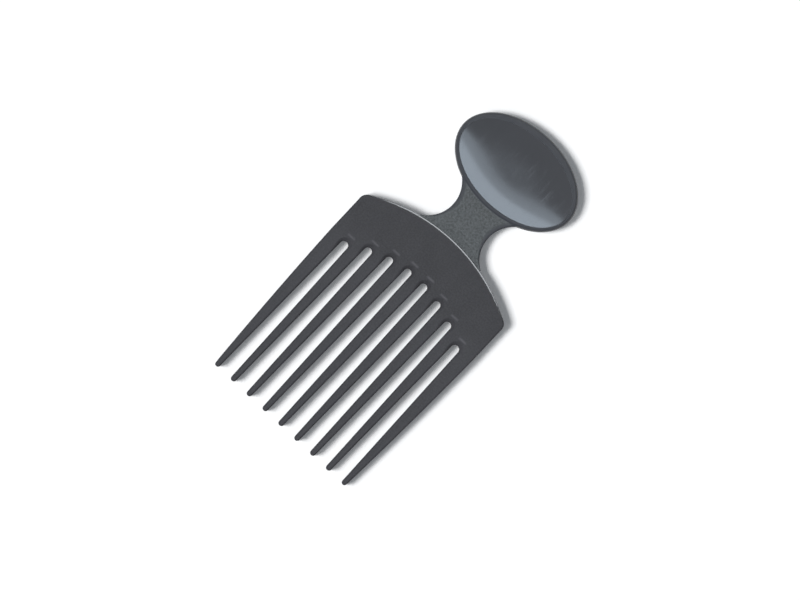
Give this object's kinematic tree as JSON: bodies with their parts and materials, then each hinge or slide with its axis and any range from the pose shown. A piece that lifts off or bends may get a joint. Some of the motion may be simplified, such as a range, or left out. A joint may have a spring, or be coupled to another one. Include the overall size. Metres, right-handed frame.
{
  "type": "pick comb",
  "caption": "Flat pick comb with long straight tines, a waisted neck and an oval dished thumb grip, for lifting and detangling thick hair.",
  "frame": {"origin": "under the middle of the comb's outline, in the plane of its rear face", "axes": "+Y along the comb from the tine tips to the thumb grip, +X across the tines, +Z out of the front face"},
  "size_m": [0.0786, 0.16, 0.0049],
  "materials": {
    "satin_charcoal": "satin moulded plastic, very fine texture",
    "grained_charcoal": "coarse moulded grain on the neck, satin on the oval lip",
    "gloss_charcoal": "polished moulded plastic"
  },
  "bodies": {
    "root": {"comb_head": "satin_charcoal", "handle_frame": "grained_charcoal", "front_thumb_dish": "gloss_charcoal", "rear_thumb_dish": "gloss_charcoal"}
  },
  "joints": []
}
